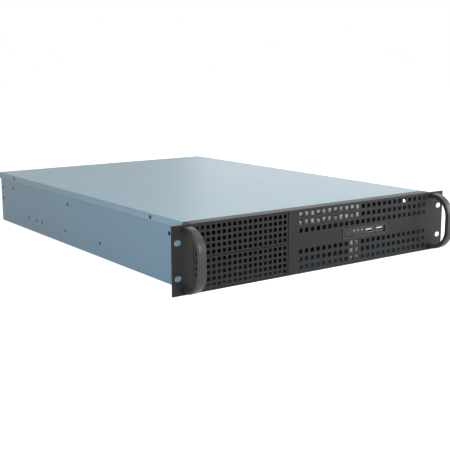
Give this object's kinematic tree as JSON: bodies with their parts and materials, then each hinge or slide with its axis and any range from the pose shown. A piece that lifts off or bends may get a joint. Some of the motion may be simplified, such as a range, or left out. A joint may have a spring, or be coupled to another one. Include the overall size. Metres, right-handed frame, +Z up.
{
  "type": "empty rackmount server case",
  "caption": "Low, deep rackmount case with perforated black front, bow handles, two drive bays, a control strip, a sliding top cover and fans inside.",
  "frame": {"origin": "middle of the whole underside, handles included", "axes": "+X to the right along the front, +Y from the front panel to the rear, +Z up"},
  "size_m": [0.4826, 0.663, 0.088],
  "materials": {
    "black_panel": "fine black powder coat, satin",
    "black_handle": "black enamel on aluminium, semi-gloss",
    "case_steel": "blue-grey pre-coated steel sheet, satin",
    "galvanised": "galvanised steel sheet, dull",
    "black_plastic": "moulded black plastic",
    "button_plastic": "moulded dark plastic",
    "lamp_lens": "clear moulded light guide",
    "port_shell": "bright plated steel",
    "port_tongue": "moulded white plastic",
    "circuit_board": "green circuit board",
    "fan_plastic": "moulded black plastic",
    "brass": "turned brass"
  },
  "bodies": {
    "case": {"front_panel": "black_panel", "handle_left": "black_handle", "handle_right": "black_handle", "bay_cover_lower": "black_panel", "bay_cover_upper": "black_panel", "chassis_tray": "case_steel", "io_bezel": "black_plastic", "led_lenses": "lamp_lens", "usb_shells": "port_shell", "usb_tongues": "port_tongue", "io_board": "circuit_board", "bay_cage": "galvanised", "drive_cage": "galvanised", "fan_bracket": "galvanised", "cross_brace": "galvanised", "psu_bracket": "galvanised", "rear_panel": "case_steel", "slot_rail": "galvanised", "board_standoffs": "brass", "fan_frames": "fan_plastic", "slot_cover_1": "galvanised", "slot_cover_2": "galvanised", "slot_cover_3": "galvanised", "slot_cover_4": "galvanised", "slot_cover_5": "galvanised", "slot_cover_6": "galvanised", "slot_cover_7": "galvanised"},
    "cover": {"top_cover": "case_steel"},
    "power_button": {"power_button": "button_plastic"},
    "reset_button": {"reset_button": "button_plastic"},
    "fan_rotor_1": {"fan_rotor_1": "fan_plastic"},
    "fan_rotor_2": {"fan_rotor_2": "fan_plastic"},
    "fan_rotor_3": {"fan_rotor_3": "fan_plastic"}
  },
  "joints": [
    {"name": "cover_slide", "type": "slide", "parent": "case", "child": "cover", "axis": [0, 1, 0], "range_m": [0, 0.645]},
    {"name": "power_press", "type": "slide", "parent": "case", "child": "power_button", "axis": [0, 1, 0], "range_m": [0, 0.0012], "stiffness_N_per_m": 600, "springref_m": -0.0005},
    {"name": "reset_press", "type": "slide", "parent": "case", "child": "reset_button", "axis": [0, 1, 0], "range_m": [0, 0.001], "stiffness_N_per_m": 500, "springref_m": -0.0005},
    {"name": "fan_spin_1", "type": "hinge", "parent": "case", "child": "fan_rotor_1", "pos_m": [-0.128, -0.0335, 0.044], "axis": [0, 1, 0], "continuous": true},
    {"name": "fan_spin_2", "type": "hinge", "parent": "case", "child": "fan_rotor_2", "pos_m": [0, -0.0335, 0.044], "axis": [0, 1, 0], "continuous": true},
    {"name": "fan_spin_3", "type": "hinge", "parent": "case", "child": "fan_rotor_3", "pos_m": [0.128, -0.0335, 0.044], "axis": [0, 1, 0], "continuous": true}
  ]
}
